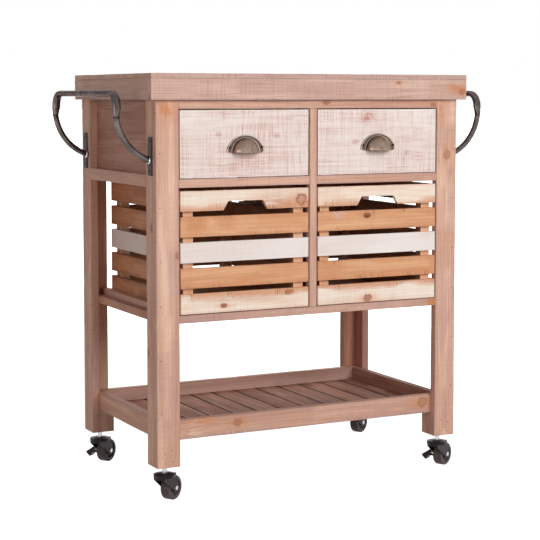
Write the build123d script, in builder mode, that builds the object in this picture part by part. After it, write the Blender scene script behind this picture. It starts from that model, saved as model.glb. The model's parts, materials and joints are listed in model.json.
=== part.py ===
from build123d import *
import os
from math import acos, cos, radians, sin, sqrt

os.makedirs("parts", exist_ok=True)

# Overall
frame_width = 707.0  # over the outer faces of the left and right legs
frame_depth = 420.0  # over the front and back faces of the legs
top_height = 865.0  # floor to the worktop's upper face

# Boards
board = 17.0  # thickness of the frame's boards
panel = 12.0  # thickness of the side panels and the back panel
eased_edge = 0.8  # rounding on the edges of every board
leg_face = 50.0  # width of a leg seen from the front
leg_side = 51.0  # width of a leg seen from the side

# Worktop
plank_thickness = 10.0
plank_count = 5
plank_gap = 0.6
edge_height = 43.0  # edge boards and battens under the planks
edge_thickness = 20.0
batten_width = 24.0
overhang_left = 13.0
overhang_right = 19.0
overhang_front = 10.0
overhang_back = 8.0

# Bays, from the worktop down
top_rail_height = 18.0
drawer_bay_height = 139.0
mid_rail_height = 18.0
crate_bay_height = 256.0
bottom_rail_height = 16.0
side_rail_height = 25.0
low_back_rail_height = 25.0

# Runners
inner_ledge_width = 22.0  # how far a side ledge reaches in under a drawer or crate
guide_height = 12.0
slide_gap = 0.3  # a drawer or crate over its ledges
sill_gap = 1.2  # crate ledges over the top of the bottom rail
bay_gap = 2.5  # either side of a drawer or crate

# Drawers
front_gap = 2.0  # over and under a drawer front
front_recess = 1.0
drawer_front_thickness = 17.0
drawer_box_thickness = 12.0
drawer_side_height = 105.0
drawer_bottom_thickness = 6.0
drawer_bottom_lift = 10.0
drawer_back_gap = 1.0

# Cup pulls
pull_cup_radius = 30.0
pull_ear = 13.5  # flange beside the cup
pull_rise = 5.5  # flange over the cup
pull_reach = 24.0
pull_wall = 1.5
pull_corner = 3.0
pull_drop = 1.2  # pull below the middle of the drawer front
pull_screw_height = 10.3

# Crates
crate_headroom = 6.5
crate_back_gap = 21.0
slat_height = 41.0
slat_thickness = 9.0
slat_tiers = 5
post_width = 22.0
crate_floor_thickness = 6.0
hole_width_low = 100.0
hole_width_high = 79.0
hole_height = 18.8
hole_corner = 4.0

# Bottom shelf
block_height = 50.5  # leg foot blocks, which carry the shelf
shelf_board_height = 40.0
shelf_rebate = 8.0
shelf_slat_thickness = 12.0
shelf_slat_pitch = 56.2
shelf_slat_gap = 2.0

# Handles
handle_radius = 6.2
handle_reach = 74.0  # leg face to the middle of the bar
grip_drop = 40.0  # grip below the worktop's upper face
corner_radius = 28.0
arm_straight = 6.0
arm_radius = 104.0
plate_width = 19.0
plate_height = 77.0
plate_thickness = 3.0
plate_corner = 2.5
plate_edge = 0.8
plate_lift = 8.1  # plate's middle above the arm's foot
plate_screw_spacing = 59.0
weld_radius = 8.4
weld_length = 3.0

# Screws
plate_screw_head = 3.6
plate_screw_shank = 1.7
pull_screw_head = 2.9
pull_screw_shank = 1.4
screw_dome = 2.0
recess_width = 0.7
screw_cover = 5.0  # wood left behind a screw's point
screw_fit = 0.05
screw_end_gap = 1.0

# Casters
stem_margin = 9.0  # stem axis behind the inner faces of the leg's boards
stem_radius = 5.0
stem_fit = 0.05
stem_show = 15.0  # stem between the swivel head and the leg
stem_cover = 12.5  # wood left over the end of the stem
stem_end_gap = 1.0
socket_floor = 1.5
socket_end_gap = 0.3
wheel_radius = 25.0
wheel_width = 21.0
tread_corner = 3.0
rim_depth = 8.5
web_width = 12.0
wheel_hub_radius = 8.0
wheel_hub_gap = 0.3  # hub to cheek
trail = 24.0  # stem axis to wheel axis
axle_radius = 3.0
rivet_radius = 4.6
rivet_height = 1.4
running_fit = 0.05
cheek_gap = 0.7
cheek_thickness = 2.0
cheek_front = 19.0
cheek_back = 22.0
boss_radius = 9.0
wheel_headroom = 1.5
swivel_radius = 22.3
swivel_height = 6.0
swivel_dome = 2.5
swivel_neck = 9.0
skirt_height = 4.0
caster_turns = {"front_left": 33.0, "front_right": 27.0, "back_left": 35.0, "back_right": 28.0}

# Brake levers on two of the casters
braked = ("back_left", "front_right")
lever_width = 14.0
lever_lead = 20.0  # leading edge of the lever ahead of the axle
lever_pivot_lift = 9.0  # pivot over the axle
lever_pivot_gap = 3.2  # pivot outside the cheek
lever_barrel = 2.8
lever_reach = 22.8  # pivot to the tip, sideways
lever_fall = 14.0  # pivot to the tip, downwards
lever_tip_radius = 1.8
lip_back = 8.0
lip_fall = 7.5
lip_radius = 1.5
shoe_width = 3.0
shoe_height = 4.0
shoe_drop = 11.0
shoe_reach = 14.0
shoe_gap = 2.1  # shoe to the wheel while the brake is off
lever_pin = 1.4
ear_width = 2.0
ear_gap = 0.4
ear_height = 6.0

# Levels, from the floor
swivel_low = 2 * wheel_radius + wheel_headroom
swivel_top = swivel_low + swivel_height
neck_top = swivel_top + swivel_dome
caster_height = neck_top + stem_show
leg_top = top_height - plank_thickness - edge_height
drawer_ceiling = leg_top - top_rail_height
drawer_floor = drawer_ceiling - drawer_bay_height
crate_ceiling = drawer_floor - mid_rail_height
crate_sill = crate_ceiling - crate_bay_height
bottom_rail_low = crate_sill - bottom_rail_height
ledge_low = crate_sill - board
crate_ledge = crate_sill + sill_gap
panel_low = drawer_floor - board
shelf_low = caster_height + block_height

# Places on a caster, with the stem axis on Z and the trail along +X
cheek_inner = wheel_width / 2 + cheek_gap
cheek_outer = cheek_inner + cheek_thickness
pivot_side = cheek_outer + lever_pivot_gap
pivot_height = wheel_radius + lever_pivot_lift
lever_start = trail - lever_lead
stem_inset = board + stem_margin

# The origin lies on the floor under the middle of the whole cart, with pulls and levers
back_turn = radians(caster_turns["back_left"])
lever_side = pivot_side + lever_reach + lever_tip_radius
lever_overhang = cos(back_turn) * lever_side + sin(back_turn) * (lever_start + lever_width) - stem_inset
pull_overhang = pull_reach - front_recess
left = -frame_width / 2
right = frame_width / 2
front = (pull_overhang - frame_depth - lever_overhang) / 2
back = front + frame_depth

# Bays, and the inner faces of the frame's front and back boards
bay_width = (frame_width - 2 * leg_face - board) / 2
bay_starts = {"left": left + leg_face, "right": board / 2}
inner_front = front + board
inner_back = back - board
panel_back = inner_back - panel


def beam(x_span, y_span, z_span, ease=eased_edge):
    """A board between two values on each axis, with eased edges."""
    spans = (x_span, y_span, z_span)
    middle = [(low + high) / 2 for low, high in spans]
    with BuildPart(Plane(origin=middle)) as piece:
        Box(*[high - low for low, high in spans])
        fillet(piece.edges(), ease)
    return piece.part


def save(shape, name):
    """Name a finished piece and write its file."""
    shape.label = name
    export_step(shape, f"parts/{name}.step")


def save_group(pieces, name):
    """Separate boards that touch stay separate solids under one name."""
    save(Compound(children=pieces), name)


def with_mirror(pieces):
    """The pieces of the left side, and the same on the right."""
    return pieces + [mirror(piece, about=Plane.YZ) for piece in pieces]


def placed(shape, planes):
    """Copies of one piece, each set on its plane."""
    with BuildPart() as copies:
        with Locations(*planes):
            add(shape)
    return copies.part


def facing_front(origin):
    """Plane on a face that looks to the front, with its own Y upwards."""
    return Plane(origin=origin, x_dir=(1, 0, 0), z_dir=(0, -1, 0))


def facing_left(origin):
    """Plane on a face that looks to the left, with its own Y upwards."""
    return Plane(origin=origin, x_dir=(0, -1, 0), z_dir=(-1, 0, 0))


def round_head_screw(head, shank, length):
    """A screw whose head stands on the plane z = 0, with a cross recess."""
    with BuildPart() as screw:
        with BuildSketch(Plane.XZ) as outline:
            with BuildLine():
                Line((0, -length), (shank, -length))
                Line((shank, -length), (shank, 0))
                Line((shank, 0), (head, 0))
                RadiusArc((head, 0), (0, screw_dome), -(head**2 + screw_dome**2) / (2 * screw_dome))
                Line((0, screw_dome), (0, -length))
            make_face()
        revolve(axis=Axis.Z)
        with Locations((0, 0, screw_dome)):
            Box(head, recess_width, screw_dome, mode=Mode.SUBTRACT)
            Box(recess_width, head, screw_dome, mode=Mode.SUBTRACT)
    return screw.part


# Worktop planks
top_left = left - overhang_left
top_right = right + overhang_right
top_front = front - overhang_front
top_back = back + overhang_back
plank_pitch = (top_back - top_front + plank_gap) / plank_count
plank_low = top_height - plank_thickness
planks = []
for i in range(plank_count):
    plank_front = top_front + i * plank_pitch
    plank_span = (plank_front, plank_front + plank_pitch - plank_gap)
    planks.append(beam((top_left, top_right), plank_span, (plank_low, top_height)))
save_group(planks, "worktop_planks")

# Edge boards under the planks, the long ones over the ends of the short ones
edge_z = (leg_top, plank_low)
between_edges = (top_front + edge_thickness, top_back - edge_thickness)
save_group(
    [
        beam((top_left, top_right), (top_front, between_edges[0]), edge_z),
        beam((top_left, top_right), (between_edges[1], top_back), edge_z),
        beam((top_left, top_left + edge_thickness), between_edges, edge_z),
        beam((top_right - edge_thickness, top_right), between_edges, edge_z),
    ],
    "worktop_edges",
)

# Cross battens between the edge boards, over the side panels and the middle
batten_starts = (left + board, -batten_width / 2, right - board - batten_width)
save_group([beam((x, x + batten_width), between_edges, edge_z) for x in batten_starts], "worktop_battens")

# Handle path: foot on the plate, wide curve out, corner, grip, and the same back down
grip_height = top_height - grip_drop
arm_angle = acos((arm_radius - handle_reach + plate_thickness) / arm_radius)
arm_top = grip_height - corner_radius
arm_curve_top = arm_top - arm_straight
arm_foot = arm_curve_top - arm_radius * sin(arm_angle)
plate_middle = arm_foot + plate_lift
arm_front = front + leg_side / 2
arm_back = back - leg_side / 2
grip_x = left - handle_reach
curve_x = grip_x + arm_radius
foot_x = left - plate_thickness
middle_x = curve_x - arm_radius * cos(arm_angle / 2)
middle_z = arm_curve_top - arm_radius * sin(arm_angle / 2)
corner_rest = corner_radius * (1 - sqrt(0.5))
grip_front = arm_front + corner_radius
grip_back = arm_back - corner_radius

with BuildPart() as handle_left:
    with BuildLine() as bar_path:
        ThreePointArc(
            (foot_x, arm_front, arm_foot), (middle_x, arm_front, middle_z), (grip_x, arm_front, arm_curve_top)
        )
        Line((grip_x, arm_front, arm_curve_top), (grip_x, arm_front, arm_top))
        ThreePointArc(
            (grip_x, arm_front, arm_top),
            (grip_x, arm_front + corner_rest, grip_height - corner_rest),
            (grip_x, grip_front, grip_height),
        )
        Line((grip_x, grip_front, grip_height), (grip_x, grip_back, grip_height))
        ThreePointArc(
            (grip_x, grip_back, grip_height),
            (grip_x, arm_back - corner_rest, grip_height - corner_rest),
            (grip_x, arm_back, arm_top),
        )
        Line((grip_x, arm_back, arm_top), (grip_x, arm_back, arm_curve_top))
        ThreePointArc(
            (grip_x, arm_back, arm_curve_top), (middle_x, arm_back, middle_z), (foot_x, arm_back, arm_foot)
        )
    with BuildSketch(bar_path.line ^ 0):
        Circle(handle_radius)
    sweep()
    # The ends are dressed flush with the plates, inside a weld bead
    split(bisect_by=Plane.YZ.offset(foot_x), keep=Keep.BOTTOM)
    with Locations(facing_left((foot_x, arm_front, arm_foot)), facing_left((foot_x, arm_back, arm_foot))):
        Cone(weld_radius, handle_radius, weld_length, align=(Align.CENTER, Align.CENTER, Align.MIN))
save(handle_left.part, "handle_left")

with BuildPart() as handle_right:
    mirror(handle_left.part, about=Plane.YZ)
save(handle_right.part, "handle_right")

# Handle plates on the outer faces of the legs, each with two screws
plate_planes = [facing_left((left, y, plate_middle)) for y in (arm_front, arm_back)]
plate_screw_places = [(0, plate_screw_spacing / 2), (0, -plate_screw_spacing / 2)]
plate_screw_length = plate_thickness + board - screw_cover
with BuildPart() as plate:
    Box(plate_width, plate_height, plate_thickness, align=(Align.CENTER, Align.CENTER, Align.MIN))
    fillet(plate.edges().filter_by(Axis.Z), plate_corner)
    fillet(plate.faces().sort_by(Axis.Z)[-1].edges(), plate_edge)
    with Locations(*[(x, y, plate_thickness) for x, y in plate_screw_places]):
        Hole(plate_screw_shank + screw_fit)
with BuildPart() as plate_screws:
    with Locations(*[(x, y, plate_thickness) for x, y in plate_screw_places]):
        add(round_head_screw(plate_screw_head, plate_screw_shank, plate_screw_length))
save_group(with_mirror([placed(plate.part, [plane]) for plane in plate_planes]), "handle_plates")
left_plate_screws = placed(plate_screws.part, plate_planes)
save_group(with_mirror(list(left_plate_screws.solids())), "handle_screws")

# Legs of two boards, the side board with pilot holes for the handle plate
leg_z = (caster_height, leg_top)
leg_ys = {
    "front": ((front, inner_front), (inner_front, front + leg_side)),
    "back": ((inner_back, back), (back - leg_side, inner_back)),
}
pilot_depth = plate_screw_length - plate_thickness + screw_end_gap
for (depth_name, (face_board_y, side_board_y)), plate_plane in zip(leg_ys.items(), plate_planes):
    face_board = beam((left, left + leg_face), face_board_y, leg_z)
    with BuildPart() as side_board:
        add(beam((left, left + board), side_board_y, leg_z))
        with Locations(plate_plane):
            with Locations(*plate_screw_places):
                Cylinder(
                    plate_screw_shank + screw_fit,
                    pilot_depth,
                    align=(Align.CENTER, Align.CENTER, Align.MAX),
                    mode=Mode.SUBTRACT,
                )
    left_leg = [face_board, side_board.part]
    save_group(left_leg, f"leg_{depth_name}_left")
    save_group([mirror(piece, about=Plane.YZ) for piece in left_leg], f"leg_{depth_name}_right")

# Foot blocks in the angle of each leg, bored for the caster stems
stem_x = left + stem_inset
stem_ys = {"front": front + stem_inset, "back": back - stem_inset}
stem_top = shelf_low - stem_cover
blocks = []
for depth_name, (_, block_y) in leg_ys.items():
    with BuildPart() as block:
        add(beam((left + board, left + leg_face), block_y, (caster_height, shelf_low)))
        with Locations((stem_x, stem_ys[depth_name], caster_height)):
            Cylinder(
                stem_radius + stem_fit,
                stem_top + stem_end_gap - caster_height,
                align=(Align.CENTER, Align.CENTER, Align.MIN),
                mode=Mode.SUBTRACT,
            )
    blocks.append(block.part)
save_group(with_mirror(blocks), "foot_blocks")

# Front rails and the divider between the bays
face_y = (front, inner_front)
rail_x = (left + leg_face, right - leg_face)
left_bay_x = (left + leg_face, -board / 2)
save(beam(rail_x, face_y, (drawer_ceiling, leg_top)), "top_rail")
save(beam(rail_x, face_y, (bottom_rail_low, crate_sill)), "bottom_rail")
save(beam((-board / 2, board / 2), face_y, (crate_sill, drawer_ceiling)), "center_divider")
save_group(with_mirror([beam(left_bay_x, face_y, (crate_ceiling, drawer_floor))]), "mid_rails")

# Side and back panels round the drawer bay, against the legs' inner faces
side_panel_x = (left + board, left + board + panel)
back_panel_x = (left + board + panel, right - board - panel)
panel_z = (panel_low, leg_top)
save_group(with_mirror([beam(side_panel_x, (inner_front, inner_back), panel_z)]), "side_panels")
save(beam(back_panel_x, (panel_back, inner_back), panel_z), "back_panel")

# Side rails: one over the foot of each side panel, one set back at crate level
high_rail_z = (panel_low, panel_low + side_rail_height)
high_side_rail = beam((left, left + board), (front + leg_side, back - leg_side), high_rail_z)
low_side_rail = beam((left + board, left + 2 * board), (inner_front, inner_back), (ledge_low, crate_sill))
save_group(with_mirror([high_side_rail, low_side_rail]), "side_rails")

# Back rails
back_y = (inner_back, back)
save_group(
    [
        beam(rail_x, back_y, (drawer_ceiling, leg_top)),
        beam(rail_x, back_y, high_rail_z),
        beam(rail_x, back_y, (ledge_low, ledge_low + low_back_rail_height)),
    ],
    "back_rails",
)

# Drawer runners: a ledge and a guide batten at each side, and a pair in the middle
ledge_reach = left + leg_face + inner_ledge_width
middle_half = board / 2 + inner_ledge_width
drawer_ledge_y = (inner_front, panel_back)
drawer_ledge_z = (panel_low, drawer_floor)
drawer_guide_z = (drawer_floor, drawer_floor + guide_height)
drawer_side_ledge = beam((left + board + panel, ledge_reach), drawer_ledge_y, drawer_ledge_z)
drawer_side_guide = beam((left + board + panel, left + leg_face), drawer_ledge_y, drawer_guide_z)
save_group(
    with_mirror([drawer_side_ledge, drawer_side_guide])
    + [
        beam((-middle_half, middle_half), drawer_ledge_y, drawer_ledge_z),
        beam((-board / 2, board / 2), drawer_ledge_y, drawer_guide_z),
    ],
    "drawer_runners",
)

# Crate runners, the same way at the bottom rail
crate_ledge_y = (inner_front, inner_back)
crate_ledge_z = (ledge_low, crate_ledge)
crate_guide_z = (crate_ledge, crate_ledge + guide_height)
crate_side_ledge = beam((left + 2 * board, ledge_reach), crate_ledge_y, crate_ledge_z)
crate_side_guide = beam((left + 2 * board, left + leg_face), crate_ledge_y, crate_guide_z)
save_group(
    with_mirror([crate_side_ledge, crate_side_guide])
    + [
        beam((-middle_half, middle_half), crate_ledge_y, crate_ledge_z),
        beam((-board / 2, board / 2), crate_ledge_y, crate_guide_z),
    ],
    "crate_runners",
)

# Bottom shelf rim, its long boards rebated along the inner bottom edge for the slats
rim_left = left + board
shelf_front = inner_front + board
shelf_back = inner_back - board
shelf_z = (shelf_low, shelf_low + shelf_board_height)
with BuildPart() as shelf_front_board:
    add(beam((rim_left, -rim_left), (inner_front, shelf_front), shelf_z))
    with Locations((0, shelf_front, shelf_low)):
        Box(
            frame_width,
            shelf_rebate,
            shelf_slat_thickness,
            align=(Align.CENTER, Align.MAX, Align.MIN),
            mode=Mode.SUBTRACT,
        )
shelf_middle_y = (shelf_front + shelf_back) / 2
shelf_back_board = mirror(shelf_front_board.part, about=Plane.XZ.offset(-shelf_middle_y))
save_group([shelf_front_board.part, shelf_back_board], "shelf_long_boards")

end_board = beam((rim_left, rim_left + board), (shelf_front, shelf_back), shelf_z)
save_group(with_mirror([end_board]), "shelf_end_boards")

# Shelf slats from the middle outwards, the last one of each side cut to fit
slat_y = (shelf_front - shelf_rebate, shelf_back + shelf_rebate)
slat_z = (shelf_low, shelf_low + shelf_slat_thickness)
slat_limit = -rim_left - board
half_slats = []
slat_start = shelf_slat_gap / 2
while slat_start + shelf_slat_gap < slat_limit:
    slat_end = min(slat_start + shelf_slat_pitch - shelf_slat_gap, slat_limit)
    half_slats.append(beam((slat_start, slat_end), slat_y, slat_z))
    slat_start += shelf_slat_pitch
save_group(with_mirror(half_slats), "shelf_slats")

# Cup pull: half a bowl, open below, on a crescent flange, with its back on the plane y = 0
pull_half_width = pull_cup_radius + pull_ear
pull_height = pull_cup_radius + pull_rise
pull_screw_x = pull_cup_radius + pull_ear / 2
pull_screw_places = [(x, -pull_wall, pull_screw_height) for x in (-pull_screw_x, pull_screw_x)]
pull_screw_length = pull_wall + drawer_front_thickness - screw_cover
cup_inner_radius = pull_cup_radius - pull_wall
with BuildPart() as pull:
    with BuildSketch(Plane.XZ) as flange:
        Ellipse(pull_half_width, pull_height)
        Rectangle(2 * pull_half_width, pull_height, align=(Align.CENTER, Align.MIN), mode=Mode.INTERSECT)
        fillet(flange.vertices(), pull_corner)
        Circle(cup_inner_radius, mode=Mode.SUBTRACT)
    extrude(amount=pull_wall)
    with BuildSketch(Plane.XY) as cup_wall:
        Ellipse(pull_cup_radius, pull_reach)
        Ellipse(cup_inner_radius, pull_reach - pull_wall, mode=Mode.SUBTRACT)
        Rectangle(pull_cup_radius, pull_reach, align=(Align.MIN, Align.MAX), mode=Mode.INTERSECT)
    revolve(axis=Axis.Y)
    split(bisect_by=Plane.XY, keep=Keep.TOP)
    with Locations(*[facing_front(place) for place in pull_screw_places]):
        Hole(pull_screw_shank + screw_fit)
with BuildPart() as pull_screws:
    with Locations(*[facing_front(place) for place in pull_screw_places]):
        add(round_head_screw(pull_screw_head, pull_screw_shank, pull_screw_length))

# Drawers: front, box and bottom, all built in place
drawer_width = bay_width - 2 * bay_gap
drawer_z = (drawer_floor + front_gap, drawer_ceiling - front_gap)
drawer_face = front + front_recess
box_front = drawer_face + drawer_front_thickness
box_back = panel_back - drawer_back_gap
box_z = (drawer_floor + slide_gap, drawer_floor + slide_gap + drawer_side_height)
pull_low = (drawer_z[0] + drawer_z[1] - pull_height) / 2 - pull_drop
pilot_reach = pull_screw_length - pull_wall + screw_end_gap
for side_name, bay_start in bay_starts.items():
    x0 = bay_start + bay_gap
    x1 = x0 + drawer_width
    pull_plane = Plane(origin=((x0 + x1) / 2, drawer_face, pull_low))
    with BuildPart() as drawer_front:
        add(beam((x0, x1), (drawer_face, box_front), drawer_z))
        with Locations(pull_plane):
            with Locations(*[facing_front((x, 0, z)) for x, y, z in pull_screw_places]):
                Cylinder(
                    pull_screw_shank + screw_fit,
                    pilot_reach,
                    align=(Align.CENTER, Align.CENTER, Align.MAX),
                    mode=Mode.SUBTRACT,
                )
    save(drawer_front.part, f"drawer_{side_name}_front")
    inside_x = (x0 + drawer_box_thickness, x1 - drawer_box_thickness)
    inside_back = box_back - drawer_box_thickness
    drawer_sides = [
        beam((x0, inside_x[0]), (box_front, box_back), box_z),
        beam((inside_x[1], x1), (box_front, box_back), box_z),
    ]
    save_group(drawer_sides, f"drawer_{side_name}_sides")
    bottom_low = box_z[0] + drawer_bottom_lift
    bottom_z = (bottom_low, bottom_low + drawer_bottom_thickness)
    save(beam(inside_x, (inside_back, box_back), box_z), f"drawer_{side_name}_back")
    save(beam(inside_x, (box_front, inside_back), bottom_z), f"drawer_{side_name}_bottom")
    save(placed(pull.part, [pull_plane]), f"drawer_{side_name}_pull")
    save(placed(pull_screws.part, [pull_plane]), f"drawer_{side_name}_pull_screws")

# Crates: tiers of slats round four posts, the top front slat notched as a hand hole
crate_low = crate_ledge + slide_gap
crate_high = min(crate_ceiling, panel_low) - crate_headroom
tier_pitch = (crate_high - crate_low - slat_height) / (slat_tiers - 1)
crate_back = inner_back - crate_back_gap
for side_name, bay_start in bay_starts.items():
    x0 = bay_start + bay_gap
    x1 = bay_start + bay_width - bay_gap
    wall_y = (front + slat_thickness, crate_back - slat_thickness)
    wall_x = (x0 + slat_thickness, x1 - slat_thickness)
    front_slats = []
    wall_slats = []
    for tier in range(slat_tiers):
        tier_low = crate_low + tier * tier_pitch
        tier_z = (tier_low, tier_low + slat_height)
        front_slats.append(beam((x0, x1), (front, wall_y[0]), tier_z))
        wall_slats.append(beam((x0, wall_x[0]), wall_y, tier_z))
        wall_slats.append(beam((wall_x[1], x1), wall_y, tier_z))
        wall_slats.append(beam((x0, x1), (wall_y[1], crate_back), tier_z))
    hole_plane = facing_front(((x0 + x1) / 2, front, crate_high - slat_height))
    with BuildPart() as top_slat:
        add(front_slats.pop())
        with BuildSketch(hole_plane) as hand_hole:
            with BuildLine():
                Polyline(
                    (-hole_width_low / 2, 0),
                    (-hole_width_high / 2, hole_height),
                    (hole_width_high / 2, hole_height),
                    (hole_width_low / 2, 0),
                    close=True,
                )
            make_face()
            fillet(hand_hole.vertices().group_by(Axis.Y)[-1], hole_corner)
        extrude(amount=-slat_thickness, mode=Mode.SUBTRACT)
    save_group(front_slats + [top_slat.part], f"crate_{side_name}_front_slats")
    save_group(wall_slats, f"crate_{side_name}_wall_slats")
    floor_z = (crate_low, crate_low + crate_floor_thickness)
    save(beam(wall_x, wall_y, floor_z), f"crate_{side_name}_floor")
    post_xs = ((wall_x[0], wall_x[0] + post_width), (wall_x[1] - post_width, wall_x[1]))
    post_ys = ((wall_y[0], wall_y[0] + post_width), (wall_y[1] - post_width, wall_y[1]))
    posts = [beam(post_x, post_y, (floor_z[1], crate_high)) for post_x in post_xs for post_y in post_ys]
    save_group(posts, f"crate_{side_name}_posts")

# Caster pieces stand with the stem axis on Z and the trail along +X, then are turned into place
socket_radius = stem_radius + running_fit
socket_low = swivel_low + socket_floor
wheel_axis = Axis((trail, 0, wheel_radius), (0, 1, 0))
axle_plane = Plane(origin=(trail, 0, wheel_radius))

with BuildPart() as wheel:
    with BuildSketch(axle_plane) as wheel_section:
        bore = axle_radius + running_fit
        hub_width = 2 * (cheek_inner - wheel_hub_gap)
        rim_inner = wheel_radius - rim_depth
        with Locations((bore, 0)):
            Rectangle(wheel_hub_radius - bore, hub_width, align=(Align.MIN, Align.CENTER))
        with Locations((wheel_hub_radius, 0)):
            Rectangle(rim_inner - wheel_hub_radius, web_width, align=(Align.MIN, Align.CENTER))
        with Locations((rim_inner, 0)):
            Rectangle(rim_depth, wheel_width, align=(Align.MIN, Align.CENTER))
        fillet(wheel_section.vertices().group_by(Axis.X)[-1], tread_corner)
    revolve(axis=wheel_axis)

with BuildPart() as axle:
    with BuildSketch(axle_plane) as axle_section:
        Rectangle(axle_radius, 2 * cheek_outer, align=(Align.MIN, Align.CENTER))
        with Locations((0, cheek_outer), (0, -cheek_outer - rivet_height)):
            Rectangle(rivet_radius, rivet_height, align=(Align.MIN, Align.MIN))
        far_corners = axle_section.vertices().group_by(Axis.X)[-1].sort_by(Axis.Y)
        fillet([far_corners[0], far_corners[-1]], rivet_height / 2)
    revolve(axis=wheel_axis)


ear_places = (lever_start - ear_gap - ear_width, lever_start + lever_width + ear_gap)


def fork(with_ears):
    """Swivel head with its socket for the stem, and two cheeks down to the axle."""
    with BuildPart() as body:
        with BuildSketch(Plane.XZ) as head:
            with BuildLine():
                Polyline(
                    (0, swivel_low),
                    (swivel_radius, swivel_low),
                    (swivel_radius, swivel_top),
                    (swivel_neck, neck_top),
                    (socket_radius, neck_top),
                    (socket_radius, socket_low),
                    (0, socket_low),
                    close=True,
                )
            make_face()
            fillet(head.vertices().group_by(Axis.X)[-1], eased_edge)
        revolve(axis=Axis.Z)
        # A skirt round the leading half closes the front of the wheel house
        with BuildSketch(Plane.XY.offset(swivel_low)):
            skirt_radius = swivel_radius - eased_edge
            Circle(skirt_radius)
            Circle(skirt_radius - cheek_thickness, mode=Mode.SUBTRACT)
            Rectangle(skirt_radius, 2 * cheek_outer, align=(Align.MAX, Align.CENTER), mode=Mode.INTERSECT)
        extrude(amount=-skirt_height)
        # Cheeks, broad under the swivel head and tapering to a round boss at the axle
        for cheek_plane in (Plane.XZ.offset(cheek_inner), Plane.XZ.offset(-cheek_outer)):
            with BuildSketch(cheek_plane):
                with Locations((trail, wheel_radius)):
                    Circle(boss_radius)
                with Locations((cheek_back, swivel_low - skirt_height)):
                    cheek_top = skirt_height + swivel_height
                    Rectangle(cheek_front + cheek_back, cheek_top, align=(Align.MAX, Align.MIN))
                make_hull()
            extrude(amount=cheek_thickness)
        with Locations(facing_front((trail, -cheek_outer, wheel_radius))):
            Hole(axle_radius + running_fit)
        if with_ears:
            for ear_start in ear_places:
                with BuildSketch(Plane.YZ.offset(ear_start)):
                    with Locations((pivot_side, pivot_height)):
                        Circle(ear_height / 2)
                    with Locations((cheek_outer, pivot_height)):
                        Rectangle(lever_pivot_gap, ear_height, align=(Align.MIN, Align.CENTER))
                    with Locations((pivot_side, pivot_height)):
                        Circle(lever_pin + running_fit, mode=Mode.SUBTRACT)
                extrude(amount=ear_width)
    return body.part


# Brake lever: barrel on the pivot, a wedge-shaped pedal with a lip, and a shoe towards the wheel
pedal_tip = (pivot_side + lever_reach, pivot_height - lever_fall)
lip_end = (pedal_tip[0] - lip_back, pedal_tip[1] - lip_fall)
with BuildPart() as brake_lever:
    with BuildSketch(Plane.YZ.offset(lever_start)):
        with Locations((pivot_side, pivot_height)):
            Circle(lever_barrel)
        with Locations(pedal_tip):
            Circle(lever_tip_radius)
        with Locations(lip_end):
            Circle(lip_radius)
        make_hull()
    extrude(amount=lever_width)
    with BuildSketch(Plane.YZ.offset(lever_start)):
        with Locations((wheel_width / 2 + shoe_gap, pivot_height - shoe_drop)):
            Rectangle(shoe_reach, shoe_height, align=(Align.MIN, Align.CENTER))
    extrude(amount=shoe_width)
    with BuildSketch(Plane.YZ.offset(lever_start - ear_gap - ear_width)):
        with Locations((pivot_side, pivot_height)):
            Circle(lever_pin)
    extrude(amount=lever_width + 2 * (ear_gap + ear_width))

# Stems stand in the foot blocks; forks, wheels, axles and levers follow each caster's turn
stem_base = socket_low + socket_end_gap
with BuildPart() as stems:
    with Locations(*[(x, y, stem_base) for x in (stem_x, -stem_x) for y in stem_ys.values()]):
        Cylinder(stem_radius, stem_top - stem_base, align=(Align.CENTER, Align.CENTER, Align.MIN))
    fillet(stems.edges().filter_by(GeomType.CIRCLE), eased_edge)
save(stems.part, "caster_stems")

plain_fork = fork(False)
eared_fork = fork(True)
for corner_name, turn in caster_turns.items():
    depth_name, side_name = corner_name.split("_")
    x = stem_x if side_name == "left" else -stem_x
    x_dir = (cos(radians(turn)), sin(radians(turn)), 0)
    caster_plane = Plane(origin=(x, stem_ys[depth_name], 0), x_dir=x_dir, z_dir=(0, 0, 1))
    fork_part = eared_fork if corner_name in braked else plain_fork
    save(placed(fork_part, [caster_plane]), f"caster_fork_{corner_name}")
    save(placed(wheel.part, [caster_plane]), f"caster_wheel_{corner_name}")
    save(placed(axle.part, [caster_plane]), f"caster_axle_{corner_name}")
    if corner_name in braked:
        save(placed(brake_lever.part, [caster_plane]), f"brake_lever_{corner_name}")
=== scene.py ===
import bpy
import bmesh
import json
import math
import random
from mathutils import Matrix, Vector, noise


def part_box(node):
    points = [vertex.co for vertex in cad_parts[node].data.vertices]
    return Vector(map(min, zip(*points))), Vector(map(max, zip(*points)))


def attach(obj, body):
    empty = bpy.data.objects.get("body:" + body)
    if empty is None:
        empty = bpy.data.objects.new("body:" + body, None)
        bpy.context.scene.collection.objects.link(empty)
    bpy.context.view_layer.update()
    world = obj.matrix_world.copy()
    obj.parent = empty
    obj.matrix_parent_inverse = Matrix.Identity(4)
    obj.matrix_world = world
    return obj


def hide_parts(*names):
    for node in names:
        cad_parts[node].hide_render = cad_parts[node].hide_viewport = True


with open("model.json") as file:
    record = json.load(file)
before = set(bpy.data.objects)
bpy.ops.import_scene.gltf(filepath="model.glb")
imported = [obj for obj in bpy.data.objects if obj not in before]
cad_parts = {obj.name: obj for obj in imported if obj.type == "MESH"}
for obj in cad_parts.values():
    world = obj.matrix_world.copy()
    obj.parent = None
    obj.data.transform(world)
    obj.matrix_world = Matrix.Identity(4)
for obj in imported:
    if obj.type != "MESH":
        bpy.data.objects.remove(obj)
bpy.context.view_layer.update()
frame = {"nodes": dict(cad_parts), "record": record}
nodes = frame["nodes"]
record = frame["record"]
bodyOf = {name: body for body, names in record["behaviour"]["bodies"].items() for name in names}
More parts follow.
